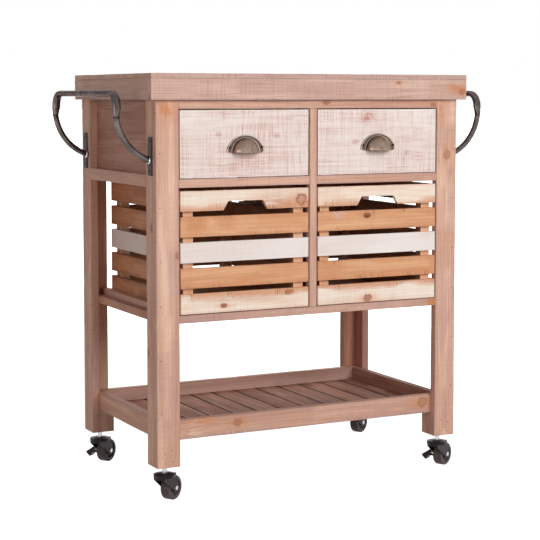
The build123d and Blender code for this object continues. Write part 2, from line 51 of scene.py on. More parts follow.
slotOf = {part["node"]: part["material_slot"] for part in record["subparts"]}
print("frame loaded:", len(nodes), "nodes")


def paint(red, green, blue):  # a colour as a picture shows it, 0 to 255
    values = [c / 255 for c in (red, green, blue)]
    return tuple(c / 12.92 if c <= 0.04045 else ((c + 0.055) / 1.055) ** 2.4 for c in values) + (1.0,)


# node helpers: sockets are linked, anything else becomes the input's value
def addNode(tree, kind, inputs=None, **settings):
    node = tree.nodes.new(kind)
    for key, value in settings.items():
        setattr(node, key, value)
    for key, value in (inputs or {}).items():
        if isinstance(value, bpy.types.NodeSocket):
            tree.links.new(value, node.inputs[key])
        else:
            node.inputs[key].default_value = value
    return node


def calc(tree, operation, *values):
    return addNode(tree, "ShaderNodeMath", dict(enumerate(values)), operation=operation).outputs[0]


def vectorCalc(tree, operation, *values):
    return addNode(tree, "ShaderNodeVectorMath", dict(enumerate(values)), operation=operation).outputs[0]


def ramp(tree, value, low, high, start=0.0, end=1.0, smooth=True):
    limits = {"Value": value, "From Min": low, "From Max": high, "To Min": start, "To Max": end}
    kind = "SMOOTHSTEP" if smooth else "LINEAR"
    return addNode(tree, "ShaderNodeMapRange", limits, interpolation_type=kind).outputs[0]


def blendColor(tree, share, first, second):
    node = addNode(tree, "ShaderNodeMix", data_type="RGBA", blend_type="MIX", clamp_factor=True)
    for key, value in ((0, share), (6, first), (7, second)):
        if isinstance(value, bpy.types.NodeSocket):
            tree.links.new(value, node.inputs[key])
        else:
            node.inputs[key].default_value = value
    return node.outputs[2]


def cloudOn(tree, place, scale, detail, roughness=0.5):
    settings = {"Vector": place, "Scale": scale, "Detail": detail, "Roughness": roughness}
    return addNode(tree, "ShaderNodeTexNoise", settings).outputs[0]


def noiseOn(tree, place, stretch, detail=2.0, roughness=0.5):  # its own scale along each axis
    return cloudOn(tree, vectorCalc(tree, "MULTIPLY", place, stretch), 1.0, detail, roughness)


def squareSum(tree, first, second):
    return calc(tree, "ADD", calc(tree, "MULTIPLY", first, first), calc(tree, "MULTIPLY", second, second))


def apart(tree, vector):
    return addNode(tree, "ShaderNodeSeparateXYZ", {0: vector}).outputs


def newGroup(name, inputs, outputs):
    tree = bpy.data.node_groups.new(name, "ShaderNodeTree")
    for socketName, kind, value in inputs:
        socket = tree.interface.new_socket(socketName, in_out="INPUT", socket_type="NodeSocket" + kind)
        if value is not None:
            socket.default_value = value
    for socketName in outputs:
        tree.interface.new_socket(socketName, in_out="OUTPUT", socket_type="NodeSocketFloat")
    entry = tree.nodes.new("NodeGroupInput")
    leave = tree.nodes.new("NodeGroupOutput")
    return tree, entry.outputs, leave.inputs


# shared effects of the wood finishes
def makeBoardGrain():
    tree, given, out = newGroup(
        "boardGrain",
        [("Place", "Vector", None), ("Seed", "Float", 0.0), ("Knot A", "Vector", None),
         ("Knot B", "Vector", None), ("Ring Gap", "Float", 0.005), ("Waver", "Float", 0.012)],
        ["Rings", "Fibres", "Bands", "Patches", "Saw Marks", "Knot", "Knot Rim", "Knot Halo", "Tone",
         "Height"])
    dice = addNode(tree, "ShaderNodeTexWhiteNoise", {"W": given["Seed"]}, noise_dimensions="1D")
    chance = dice.outputs["Color"]
    place = vectorCalc(tree, "ADD", given["Place"], vectorCalc(tree, "MULTIPLY", chance, (7.0, 7.0, 7.0)))
    own = apart(tree, given["Place"])
    luck = apart(tree, chance)

    # the grain flows round a knot, whose attribute holds the place in knot radii and the radius
    bend = 0.0
    core = 0.0
    rim = 0.0
    halo = 0.0
    for name in ("Knot A", "Knot B"):
        along, side, size = apart(tree, given[name])
        long = calc(tree, "MULTIPLY", along, 0.42)
        far = squareSum(tree, long, side)
        fade = calc(tree, "EXPONENT", calc(tree, "MULTIPLY", far, -0.45))
        bend = calc(tree, "ADD", bend, calc(tree, "MULTIPLY", calc(tree, "MULTIPLY", side, size), fade))
        halo = calc(tree, "MAXIMUM", halo, calc(tree, "EXPONENT", calc(tree, "MULTIPLY", far, -0.5)))
        wobble = cloudOn(tree, given[name], 1.3, 2.0)
        flat = calc(tree, "MULTIPLY", along, ramp(tree, size, 0.004, 0.009, 0.6, 0.88))
        reach = calc(tree, "SQRT", squareSum(tree, flat, side))
        reach = calc(tree, "ADD", reach, calc(tree, "MULTIPLY", calc(tree, "SUBTRACT", wobble, 0.5), 1.1))
        ownCore = ramp(tree, reach, 1.25, 0.7)
        filled = ramp(tree, size, 0.0055, 0.009, 1.0, 0.0)
        inner = calc(tree, "MAXIMUM", ramp(tree, reach, 0.5, 0.98), filled)
        ownRim = calc(tree, "MULTIPLY", inner, ramp(tree, reach, 1.4, 0.9))
        circles = ramp(tree, calc(tree, "SINE", calc(tree, "MULTIPLY", reach, 15.0)), 0.0, 1.0)
        circles = calc(tree, "MULTIPLY", calc(tree, "MULTIPLY", circles, ownCore), 0.4)
        core = calc(tree, "MAXIMUM", core, ownCore)
        rim = calc(tree, "MAXIMUM", rim, calc(tree, "MAXIMUM", ownRim, circles))

    slow = noiseOn(tree, place, (2.6, 9.0, 9.0), detail=1.0)
    waver = calc(tree, "MULTIPLY", calc(tree, "SUBTRACT", slow, 0.5), given["Waver"])
    across = calc(tree, "SUBTRACT", calc(tree, "ADD", own[1], waver), bend)
    pithSide = calc(tree, "MULTIPLY", calc(tree, "SUBTRACT", luck[0], 0.5), 0.13)
    pithDeep = calc(tree, "ADD", calc(tree, "MULTIPLY", luck[1], 0.05), 0.012)
    side = calc(tree, "SUBTRACT", across, pithSide)
    deep = calc(tree, "ADD", own[2], calc(tree, "ADD", pithDeep, waver))
    radius = calc(tree, "SQRT", squareSum(tree, side, deep))
    uneven = calc(tree, "MULTIPLY", noiseOn(tree, place, (1.5, 60.0, 60.0)), 1.4)
    year = calc(tree, "FRACT", calc(tree, "ADD", calc(tree, "DIVIDE", radius, given["Ring Gap"]), uneven))
    rings = calc(tree, "MULTIPLY", calc(tree, "POWER", year, 2.2), ramp(tree, year, 1.0, 0.93))
    rings = calc(tree, "MULTIPLY", rings, calc(tree, "SUBTRACT", 1.0, core))

    fibres = noiseOn(tree, place, (9.0, 420.0, 420.0), detail=3.0, roughness=0.6)
    bands = noiseOn(tree, place, (1.8, 34.0, 34.0), detail=3.0, roughness=0.55)
    patches = ramp(tree, noiseOn(tree, place, (5.0, 24.0, 24.0), detail=3.0, roughness=0.6), 0.5, 0.68)
    sawn = ramp(tree, noiseOn(tree, place, (6.0, 13.0, 13.0), detail=1.0), 0.38, 0.62, 0.4, 1.0)
    saw = noiseOn(tree, place, (500.0, 8.0, 8.0), detail=3.0, roughness=0.75)
    saw = calc(tree, "MULTIPLY", ramp(tree, saw, 0.45, 0.68), sawn)
    hollows = calc(tree, "ADD", calc(tree, "MULTIPLY", saw, 0.3), calc(tree, "MULTIPLY", rings, 0.35))
    results = {"Rings": rings, "Fibres": fibres, "Bands": bands, "Patches": patches, "Saw Marks": saw,
               "Knot": core, "Knot Rim": rim, "Knot Halo": halo, "Tone": luck[2],
               "Height": calc(tree, "SUBTRACT", fibres, hollows)}
    for socket, value in results.items():
        tree.links.new(value, out[socket])
    return tree


def makeBoardEdges():  # the arris band (worn wood, in a few finishes a painted highlight and in one painted shade), and the burnt band and saw ticks along a slat's long edges
    tree, given, out = newGroup(
        "boardEdges",
        [("Place", "Vector", None), ("Half Size", "Vector", None), ("Stain", "Vector", None),
         ("Seed", "Float", 0.0), ("Width", "Float", 0.004)],
        ["Edge", "Stain Band", "Ticks"])
    fromMiddle = vectorCalc(tree, "ABSOLUTE", given["Place"])
    inside = apart(tree, vectorCalc(tree, "SUBTRACT", given["Half Size"], fromMiddle))
    highest = calc(tree, "MAXIMUM", inside[0], calc(tree, "MAXIMUM", inside[1], inside[2]))
    lowest = calc(tree, "MINIMUM", inside[0], calc(tree, "MINIMUM", inside[1], inside[2]))
    total = calc(tree, "ADD", inside[0], calc(tree, "ADD", inside[1], inside[2]))
    middle = calc(tree, "SUBTRACT", calc(tree, "SUBTRACT", total, highest), lowest)
    ragged = calc(tree, "MULTIPLY", cloudOn(tree, given["Place"], 90.0, 3.0), 2.0)
    width = calc(tree, "MULTIPLY", given["Width"], ragged)
    tree.links.new(ramp(tree, calc(tree, "DIVIDE", middle, width), 1.0, 0.15), out["Edge"])

    own = apart(tree, given["Place"])
    half = apart(tree, given["Half Size"])
    stain = apart(tree, given["Stain"])
    shift = addNode(tree, "ShaderNodeCombineXYZ", {0: given["Seed"]}).outputs[0]
    shifted = vectorCalc(tree, "ADD", given["Place"], shift)
    waves = noiseOn(tree, shifted, (11.0, 40.0, 40.0))
    reach = calc(tree, "MULTIPLY", stain[2], ramp(tree, waves, 0.3, 0.7, 0.3, 1.7))
    fromLow = calc(tree, "DIVIDE", calc(tree, "ADD", half[1], own[1]), reach)
    fromHigh = calc(tree, "DIVIDE", calc(tree, "SUBTRACT", half[1], own[1]), reach)
    band = calc(tree, "MAXIMUM", calc(tree, "MULTIPLY", ramp(tree, fromLow, 1.3, 0.1), stain[0]),
                calc(tree, "MULTIPLY", ramp(tree, fromHigh, 1.3, 0.1), stain[1]))
    tree.links.new(band, out["Stain Band"])
    teeth = ramp(tree, noiseOn(tree, shifted, (420.0, 45.0, 45.0), detail=1.0), 0.53, 0.66)
    groups = ramp(tree, noiseOn(tree, shifted, (17.0, 3.0, 3.0), detail=1.0), 0.46, 0.58)
    ticks = calc(tree, "MULTIPLY", calc(tree, "MULTIPLY", teeth, groups), calc(tree, "POWER", band, 1.4))
    tree.links.new(ticks, out["Ticks"])
    return tree


def makeSoftSpot():  # a ragged soft spot, whose attribute holds the place in spot radii and the strength
    tree, given, out = newGroup("softSpot", [("Spot", "Vector", None), ("Seed", "Float", 0.0)], ["Spot"])
    along, side, strength = apart(tree, given["Spot"])
    shift = addNode(tree, "ShaderNodeCombineXYZ", {2: given["Seed"]}).outputs[0]
    shifted = vectorCalc(tree, "ADD", given["Spot"], shift)
    cloud = ramp(tree, noiseOn(tree, shifted, (1.3, 1.8, 1.0), detail=3.0, roughness=0.65), 0.3, 0.62)
    fade = calc(tree, "EXPONENT", calc(tree, "MULTIPLY", squareSum(tree, along, side), -1.1))
    tree.links.new(calc(tree, "MULTIPLY", calc(tree, "MULTIPLY", fade, cloud), strength), out["Spot"])
    return tree


boardGrain = makeBoardGrain()
boardEdges = makeBoardEdges()
softSpot = makeSoftSpot()


def makeWood(name, look):
    material = bpy.data.materials.new(name)
    material.use_nodes = True
    tree = material.node_tree
    shader = tree.nodes["Principled BSDF"]
    given = {key: addNode(tree, "ShaderNodeAttribute", attribute_name=key).outputs["Vector"]
             for key in ("boardPlace", "boardHalf", "boardStain", "knotA", "knotB", "warmSpot", "paleSpot")}
    seed = addNode(tree, "ShaderNodeAttribute", attribute_name="boardSeed").outputs["Fac"]
    grain = addNode(tree, "ShaderNodeGroup", node_tree=boardGrain)
    edges = addNode(tree, "ShaderNodeGroup", node_tree=boardEdges)
    warm = addNode(tree, "ShaderNodeGroup", node_tree=softSpot)
    pale = addNode(tree, "ShaderNodeGroup", node_tree=softSpot)
    for group, links in ((grain, {"Place": "boardPlace", "Knot A": "knotA", "Knot B": "knotB"}),
                         (edges, {"Place": "boardPlace", "Half Size": "boardHalf", "Stain": "boardStain"}),
                         (warm, {"Spot": "warmSpot"}), (pale, {"Spot": "paleSpot"})):
        tree.links.new(seed, group.inputs["Seed"])
        for socket, key in links.items():
            tree.links.new(given[key], group.inputs[socket])
    grain.inputs["Ring Gap"].default_value = look["ringGap"]
    grain.inputs["Waver"].default_value = look["waver"]
    edges.inputs["Width"].default_value = look["edgeWidth"]
    mask = grain.outputs

    def coat(color, key, share):  # one more colour of the look over what is there
        shade, strength = look[key]
        return blendColor(tree, calc(tree, "MULTIPLY", share, strength), color, paint(*shade))

    layers = {"deep": ramp(tree, mask["Bands"], 0.38, 0.62), "patch": mask["Patches"], "ring": mask["Rings"],
              "fibre": ramp(tree, mask["Fibres"], 0.52, 0.72), "saw": mask["Saw Marks"],
              "halo": mask["Knot Halo"], "knot": mask["Knot"], "knotRim": mask["Knot Rim"],
              "stain": edges.outputs["Stain Band"], "warm": warm.outputs[0], "pale": pale.outputs[0]}
    color = paint(*look["light"])
    for key, share in layers.items():
        color = coat(color, key, share)
    if "wash" in look:  # a thin white coat that saw marks, rings, knots, patches and fibres show through
        worn = ((mask["Saw Marks"], look["washSaw"]), (mask["Rings"], look["washRing"]),
                (mask["Knot Rim"], look["washKnot"]), (warm.outputs[0], look["washWarm"]),
                (mask["Patches"], look["washPatch"]),
                (ramp(tree, mask["Fibres"], 0.5, 0.7), look["washFibre"]))
        thin = 0.0
        for share, strength in worn:
            thin = calc(tree, "ADD", thin, calc(tree, "MULTIPLY", share, strength))
        color = coat(color, "wash", ramp(tree, thin, 1.0, 0.0, smooth=False))
    color = coat(color, "tick", edges.outputs["Ticks"])
    color = coat(color, "edge", edges.outputs["Edge"])
    spread = look["toneSpread"]
    tone = ramp(tree, mask["Tone"], 0.0, 1.0, 1.0 - spread, 1.0 + spread, smooth=False)
    color = addNode(tree, "ShaderNodeHueSaturation", {"Color": color, "Value": tone}).outputs[0]
    tree.links.new(color, shader.inputs["Base Color"])
    rough = ramp(tree, mask["Fibres"], 0.3, 0.7, look["roughness"] - 0.08, look["roughness"] + 0.1)
    tree.links.new(rough, shader.inputs["Roughness"])
    bump = addNode(tree, "ShaderNodeBump", {"Height": mask["Height"], "Strength": look["bump"],
                                            "Distance": 0.0006})
    tree.links.new(bump.outputs[0], shader.inputs["Normal"])
    shader.inputs["Specular IOR Level"].default_value = 0.3
    return material


frameLook = {
    "light": (231, 191, 169), "deep": ((203, 157, 138), 0.95), "patch": ((196, 156, 156), 0.6),
    "ring": ((188, 136, 112), 0.45), "fibre": ((178, 128, 106), 0.5), "saw": ((182, 142, 128), 0.3),
    "halo": ((212, 146, 100), 0.6), "knot": ((190, 134, 110), 0.6), "knotRim": ((138, 88, 68), 0.42),
    "stain": ((190, 160, 156), 0.6), "warm": ((208, 132, 80), 0.75), "pale": ((240, 206, 184), 0.85),
    "tick": ((110, 76, 60), 0.7), "edge": ((188, 152, 146), 0.45), "edgeWidth": 0.003,
    "toneSpread": 0.03, "roughness": 0.62, "bump": 0.35, "ringGap": 0.0055, "waver": 0.02}
frameWood = makeWood("frameWood", frameLook)
legWood = makeWood("legWood", frameLook | {"light": (243, 206, 183), "deep": ((214, 170, 149), 0.95)})
topWood = makeWood("topWood", frameLook | {
    "light": (231, 199, 186), "deep": ((212, 177, 163), 0.9), "patch": ((194, 154, 142), 0.4),
    "ring": ((184, 142, 124), 0.35), "fibre": ((168, 128, 112), 0.6), "saw": ((170, 134, 120), 0.55),
    "tick": ((96, 62, 50), 0.8), "edge": ((206, 176, 164), 0.5), "toneSpread": 0.02, "bump": 0.45,
    "ringGap": 0.004, "waver": 0.015})
# a darker, redder copy of the frame finish for the recessed side panels and the right shelf end board:
# partly a darker stain, partly painted shade
panelWood = makeWood("panelWood", frameLook | {
    "light": (188, 146, 128), "deep": ((160, 114, 97), 0.9), "patch": ((144, 100, 87), 0.6),
    "ring": ((138, 94, 78), 0.45), "fibre": ((126, 84, 70), 0.55), "saw": ((150, 106, 92), 0.4),
    "edge": ((120, 82, 74), 0.6), "toneSpread": 0.01})
# the slats under the crates: a darker finish with painted shade, and a near-black arris colour that is
# painted shade between the slats
shelfWood = makeWood("shelfWood", frameLook | {
    "light": (188, 141, 122), "deep": ((132, 88, 74), 0.95), "patch": ((194, 160, 148), 0.7),
    "ring": ((128, 84, 70), 0.4), "fibre": ((116, 76, 64), 0.55), "saw": ((200, 164, 150), 0.3),
    "edge": ((62, 36, 30), 0.9), "edgeWidth": 0.0035, "toneSpread": 0.09})
dullWood = makeWood("dullWood", frameLook | {
    "light": (216, 180, 166), "deep": ((190, 152, 142), 0.9), "patch": ((198, 166, 164), 0.6),
    "ring": ((170, 126, 112), 0.4), "fibre": ((160, 116, 104), 0.5), "saw": ((206, 174, 164), 0.4),
    "stain": ((226, 160, 112), 0.85), "edge": ((150, 110, 100), 0.5), "toneSpread": 0.01})
# a darker copy of the frame finish for faces that stand in shade: painted shade
shadeWood = makeWood("shadeWood", frameLook | {
    "light": (200, 148, 122), "deep": ((172, 120, 96), 0.9), "patch": ((160, 112, 98), 0.5),
    "ring": ((150, 98, 76), 0.4), "fibre": ((140, 90, 70), 0.45), "edge": ((160, 116, 100), 0.4),
    "toneSpread": 0.01})
# the near-white arris colour of the drawer fronts is a painted highlight on the eased edges
drawerWash = makeWood("drawerWash", frameLook | {
    "light": (226, 192, 182), "deep": ((216, 176, 166), 0.7), "patch": ((206, 162, 154), 0.5),
    "ring": ((200, 142, 134), 0.5), "fibre": ((206, 158, 150), 0.5), "saw": ((194, 132, 124), 0.85),
    "halo": ((212, 166, 158), 0.5), "knot": ((206, 156, 150), 0.4), "knotRim": ((186, 126, 120), 0.6),
    "warm": ((204, 142, 138), 0.8), "pale": ((248, 241, 236), 0.9), "wash": ((248, 242, 237), 0.96),
    "washSaw": 0.78, "washRing": 0.28, "washKnot": 0.3, "washWarm": 0.6, "washPatch": 0.25,
    "washFibre": 0.5, "tick": ((160, 120, 106), 0.5), "edge": ((248, 241, 236), 0.75), "edgeWidth": 0.0024,
    "toneSpread": 0.008, "roughness": 0.7, "bump": 0.4, "ringGap": 0.009, "waver": 0.035})
whiteSlat = makeWood("whiteSlat", frameLook | {
    "light": (234, 214, 202), "deep": ((226, 200, 186), 0.8), "patch": ((214, 192, 184), 0.4),
    "ring": ((210, 178, 162), 0.3), "fibre": ((214, 186, 172), 0.3), "saw": ((206, 180, 168), 0.4),
    "halo": ((222, 190, 170), 0.4), "knot": ((206, 170, 150), 0.5), "knotRim": ((180, 136, 118), 0.5),
    "stain": ((206, 180, 166), 0.5), "warm": ((206, 176, 160), 0.6), "pale": ((252, 249, 248), 0.9),
    "wash": ((243, 235, 232), 0.94), "washSaw": 0.25, "washRing": 0.12, "washKnot": 0.3, "washWarm": 0.6,
    "washPatch": 0.4, "washFibre": 0.25, "tick": ((150, 124, 116), 0.4), "edge": ((246, 240, 238), 0.4),
    "edgeWidth": 0.002, "toneSpread": 0.012, "roughness": 0.7, "bump": 0.25, "ringGap": 0.006})
lightPine = makeWood("lightPine", frameLook | {
    "light": (255, 249, 241), "deep": ((251, 237, 221), 0.9), "patch": ((240, 202, 170), 0.35),
    "ring": ((234, 196, 164), 0.38), "fibre": ((220, 178, 144), 0.28), "saw": ((224, 186, 160), 0.35),
    "halo": ((228, 162, 116), 0.7), "knot": ((204, 160, 144), 0.75), "knotRim": ((146, 88, 68), 0.8),
    "stain": ((214, 146, 100), 0.8), "warm": ((196, 130, 92), 0.7), "pale": ((246, 230, 214), 0.8),
    "tick": ((120, 70, 50), 0.8), "edge": ((224, 180, 148), 0.35), "toneSpread": 0.02, "roughness": 0.6,
    "ringGap": 0.0065, "waver": 0.03})
honeyPine = makeWood("honeyPine", frameLook | {
    "light": (236, 188, 148), "deep": ((216, 158, 118), 0.9), "patch": ((210, 140, 98), 0.5),
    "ring": ((200, 134, 92), 0.4), "fibre": ((188, 126, 88), 0.35), "saw": ((200, 144, 108), 0.35),
    "halo": ((196, 126, 80), 0.5), "knot": ((150, 88, 60), 0.8), "knotRim": ((96, 52, 40), 0.85),
    "stain": ((214, 150, 110), 0.6), "warm": ((176, 104, 70), 0.7), "pale": ((222, 184, 172), 0.8),
    "tick": ((108, 60, 44), 0.85), "edge": ((206, 152, 116), 0.35), "toneSpread": 0.03, "roughness": 0.6,
    "ringGap": 0.006, "waver": 0.025})
# a darker pine for crate faces that stand in shade: painted shade
shadedPine = makeWood("shadedPine", frameLook | {
    "light": (210, 153, 116), "deep": ((184, 126, 93), 0.9), "patch": ((150, 92, 66), 0.5),
    "ring": ((140, 86, 62), 0.4), "fibre": ((130, 78, 56), 0.35), "saw": ((150, 100, 76), 0.35),
    "stain": ((150, 92, 64), 0.6), "edge": ((150, 102, 78), 0.35), "toneSpread": 0.04, "ringGap": 0.006})
# the pale arris colour of the posts is a painted highlight
postPine = makeWood("postPine", frameLook | {
    "light": (238, 194, 160), "deep": ((218, 166, 130), 0.8), "patch": ((216, 160, 118), 0.4),
    "ring": ((206, 150, 110), 0.4), "fibre": ((196, 138, 100), 0.3), "saw": ((206, 156, 122), 0.2),
    "edge": ((250, 222, 196), 0.6), "toneSpread": 0.03, "ringGap": 0.005})
rawPine = makeWood("rawPine", frameLook | {
    "light": (214, 172, 138), "deep": ((200, 152, 118), 0.9), "patch": ((190, 140, 106), 0.4),
    "ring": ((192, 148, 110), 0.4), "fibre": ((186, 142, 106), 0.3), "saw": ((190, 148, 114), 0.2),
    "halo": ((206, 148, 104), 0.6), "knot": ((170, 112, 76), 0.8), "knotRim": ((120, 74, 50), 0.8),
    "edge": ((200, 160, 124), 0.3), "toneSpread": 0.03, "roughness": 0.66, "bump": 0.25, "ringGap": 0.005})
print("wood finishes made")

# boards: each solid of a node becomes a worn board with its own grain
boardWear = {"arris": 0.0009, "longEdge": 0.012, "cutEvery": 0.022, "edgeBand": 0.0016, "dent": 0.0006,
             "dentSize": 38.0, "markReach": 0.002, "knots": 2}
vectorLayers = ("boardPlace", "boardHalf", "boardStain", "knotA", "knotB", "warmSpot", "paleSpot")
nowhere = Vector((60.0, 60.0, 0.0))


def islandOf(start):  # the faces of one solid, walked over edges that two faces share
    found = {start}
    waiting = [start]
    while waiting:
        for edge in waiting.pop().edges:
            if len(edge.link_faces) == 2:
                fresh = [face for face in edge.link_faces if face not in found]
                found.update(fresh)
                waiting.extend(fresh)
    return found


def cutLoose(node):  # the solids of a node, each as its own bmesh
    shape = bmesh.new()
    shape.from_mesh(node.data)
    bmesh.ops.remove_doubles(shape, verts=shape.verts, dist=1e-6)
    bmesh.ops.dissolve_limit(shape, angle_limit=math.radians(0.4), verts=shape.verts, edges=shape.edges)
    shape.faces.index_update()
    waiting = set(shape.faces)
    boards = []
    while waiting:
        found = islandOf(next(iter(waiting)))
        waiting -= found
        kept = {face.index for face in found}
        board = shape.copy()
        board.faces.ensure_lookup_table()
        others = [face for face in board.faces if face.index not in kept]
        bmesh.ops.delete(board, geom=others, context="FACES")
        boards.append(board)
    shape.free()
    return sorted(boards, key=lambda board: [round(c, 4) for c in boxOf(board)[0]])


def boxOf(shape):
    low = Vector([min(v.co[i] for v in shape.verts) for i in range(3)])
    high = Vector([max(v.co[i] for v in shape.verts) for i in range(3)])
    return low, high


def easeArrises(board):
    sharp = [e for e in board.edges if len(e.link_faces) == 2 and e.calc_length() > boardWear["longEdge"]
             and e.calc_face_angle_signed(0.0) > math.radians(60)]
    bmesh.ops.bevel(board, geom=sharp, offset=boardWear["arris"], offset_type="OFFSET", segments=2,
                    profile=0.5, affect="EDGES", clamp_overlap=True, material=-1)


def wearBoard(board, low, high, axes, luck):
    middle, half = (low + high) / 2, (high - low) / 2
    along = axes[0]
    direction = Vector([1.0 if i == along else 0.0 for i in range(3)])
    steps = int(2 * half[along] / boardWear["cutEvery"])
    for step in range(1, steps):
        point = middle.copy()
        point[along] = low[along] + 2 * half[along] * step / steps
        everything = board.verts[:] + board.edges[:] + board.faces[:]
        bmesh.ops.bisect_plane(board, geom=everything, plane_co=point, plane_no=direction)
    shift = Vector([luck.uniform(-50, 50) for i in range(3)])
    for vert in board.verts:
        place = vert.co - middle
        onEdge = [i for i in axes[1:] if half[i] - abs(place[i]) < boardWear["edgeBand"]]
        if len(onEdge) == 2:
            worn = max(0.0, noise.noise(vert.co * boardWear["dentSize"] + shift)) * boardWear["dent"]
            for i in onEdge:
                vert.co[i] -= math.copysign(worn, place[i])


def spotAt(place, axes, centre, size, strength):
    along, across = axes[:2]
    away = place - Vector(centre)
    return Vector((away[along] / size[0], away[across] / size[1], strength))


def isOn(centre, low, high):
    near = boardWear["markReach"]
    return all(low[i] - near <= centre[i] <= high[i] + near for i in range(3))


def dressBoards(nodeName, finishes, marks=None, finishOf=None, stainOf=None):
    luck = random.Random(nodeName)
    whole = bpy.data.meshes.new(nodeName + "_wood")
    single = bpy.data.meshes.new(nodeName + "_board")
    joined = bmesh.new()
    for board in cutLoose(nodes[nodeName]):
        low, high = boxOf(board)
        middle, half = (low + high) / 2, (high - low) / 2
        axes = sorted(range(3), key=lambda i: -half[i])
        easeArrises(board)
        own = {kind: [mark for mark in found if isOn(mark[0], low, high)]
               for kind, found in (marks or {}).items()}
        spots = [(centre, (size, size), size) for centre, size in own.get("knots", ())][:boardWear["knots"]]
        spots += [None] * (boardWear["knots"] - len(spots))
        spots += [(own.get(kind) or [None])[0] for kind in ("warm", "pale")]
        layers = [board.verts.layers.float_vector.new(name) for name in vectorLayers]
        seedLayer = board.verts.layers.float.new("boardSeed")
        seed = luck.uniform(0, 100)
        stain = Vector(stainOf(middle) if stainOf else (0.0, 0.0, 0.01))
        for vert in board.verts:
            vert[seedLayer] = seed
            place = vert.co - middle
            values = [Vector([place[i] for i in axes]), Vector([half[i] for i in axes]), stain]
            values += [spotAt(vert.co, axes, *spot) if spot else nowhere for spot in spots]
            for layer, value in zip(layers, values):
                vert[layer] = value
        wearBoard(board, low, high, axes, luck)
        board.normal_update()
        for face in board.faces:
            face.material_index = finishOf(middle, face.normal) if finishOf else 0
        board.to_mesh(single)
        board.free()
        joined.from_mesh(single)
    joined.to_mesh(whole)
    joined.free()
    bpy.data.meshes.remove(single)
    for finish in finishes:
        whole.materials.append(finish)
    piece = bpy.data.objects.new(nodeName + "_wood", whole)
    bpy.context.scene.collection.objects.link(piece)
    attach(piece, bodyOf[nodeName])
    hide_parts(nodeName)
    return piece


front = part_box("leg_front_left")[0].y
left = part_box("leg_front_left")[0].x
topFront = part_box("worktop_edges")[0].y
shelfSetBack = 0.017  # from the front of the legs to the front of the shelf
shelfFront = front + shelfSetBack
# knots: centre and radius. warm and pale marks: centre, radii along and across, strength. All in metres
markPlaces = {
    "worktop_edges": {"knots": [((0.361, topFront, 0.829), 0.006), ((0.20, topFront, 0.848), 0.003)],
                      "warm": [((0.352, topFront, 0.836), (0.03, 0.012), 1.0)]},
    "leg_front_right": {"knots": [((0.330, front, 0.693), 0.0075)],
                        "warm": [((0.314, front, 0.79), (0.03, 0.008), 1.0)]},
    "leg_front_left": {"knots": [((-0.308, front, 0.502), 0.004), ((left, -0.184, 0.5575), 0.006),
                                 ((left, -0.162, 0.3036), 0.006)],
                       "warm": [((-0.326, front, 0.797), (0.026, 0.024), 1.2)],
                       "pale": [((-0.332, front, 0.50), (0.17, 0.014), 1.2)]},
    "top_rail": {"knots": [((0.030, front, 0.8066), 0.005), ((0.2938, front, 0.8009), 0.004)]},
    "bottom_rail": {"warm": [((0.296, front, 0.374), (0.016, 0.006), 1.4)]},
    "shelf_long_boards": {"knots": [((-0.167, shelfFront, 0.149), 0.007),
                                    ((0.283, shelfFront, 0.150), 0.010)],
                          "warm": [((-0.253, shelfFront, 0.160), (0.04, 0.009), 1.2)],
                          "pale": [((-0.272, shelfFront, 0.138), (0.03, 0.010), 1.0)]},
    "drawer_left_front": {"knots": [((-0.216, front, 0.7429), 0.004), ((-0.0855, front, 0.7385), 0.0045)],
                          "warm": [((-0.15, front, 0.69), (0.09, 0.035), 0.55)],
                          "pale": [((-0.285, front, 0.775), (0.05, 0.02), 1.0)]},
    "drawer_right_front": {"knots": [((0.1015, front, 0.7244), 0.005), ((0.23, front, 0.70), 0.004)],
                           "warm": [((0.131, front, 0.777), (0.016, 0.014), 1.5)],
                           "pale": [((0.26, front, 0.77), (0.05, 0.03), 1.0)]},
    "crate_left_front_slats": {"knots": [((-0.028, front, 0.607), 0.010), ((-0.206, front, 0.396), 0.004),
                                         ((-0.058, front, 0.4165), 0.005)],
                               "warm": [((-0.09, front, 0.603), (0.05, 0.02), 0.9),
                                        ((-0.15, front, 0.41), (0.09, 0.012), 0.7)],
                               "pale": [((-0.293, front, 0.4169), (0.012, 0.012), 0.9),
                                        ((-0.05, front, 0.5065), (0.09, 0.05), 1.3)]},
    "crate_right_front_slats": {"knots": [((0.1296, front, 0.568), 0.005), ((0.132, front, 0.391), 0.007)],
                                "warm": [((0.18, front, 0.49), (0.06, 0.012), 0.6)],
                                "pale": [((0.0612, front, 0.573), (0.014, 0.01), 1.4),
                                         ((0.2737, front, 0.404), (0.02, 0.01), 1.0),
                                         ((0.18, front, 0.5065), (0.3, 0.08), 1.6)]},
}


def edgeStain(middle):  # share of the grey band along the low and the high edge, and its reach
    return 0.5, 0.6, 0.004


for name in ("worktop_planks", "worktop_edges"):
    dressBoards(name, [topWood], markPlaces.get(name), stainOf=lambda middle: (0.7, 0.2, 0.004))
dressBoards("side_panels", [panelWood])
# the back right leg takes the darker shade finish: painted shade
dressBoards("leg_back_right", [shadeWood], stainOf=edgeStain)
dressBoards("shelf_long_boards", [frameWood, dullWood], markPlaces["shelf_long_boards"],
            finishOf=lambda middle, normal: middle.y > 0, stainOf=lambda middle: (0.9, 0.2, 0.006))
# the right end board, whose inner face stands in shade, takes the darker panel finish: painted shade
dressBoards("shelf_end_boards", [frameWood, panelWood], finishOf=lambda middle, normal: middle.x > 0,
            stainOf=edgeStain)
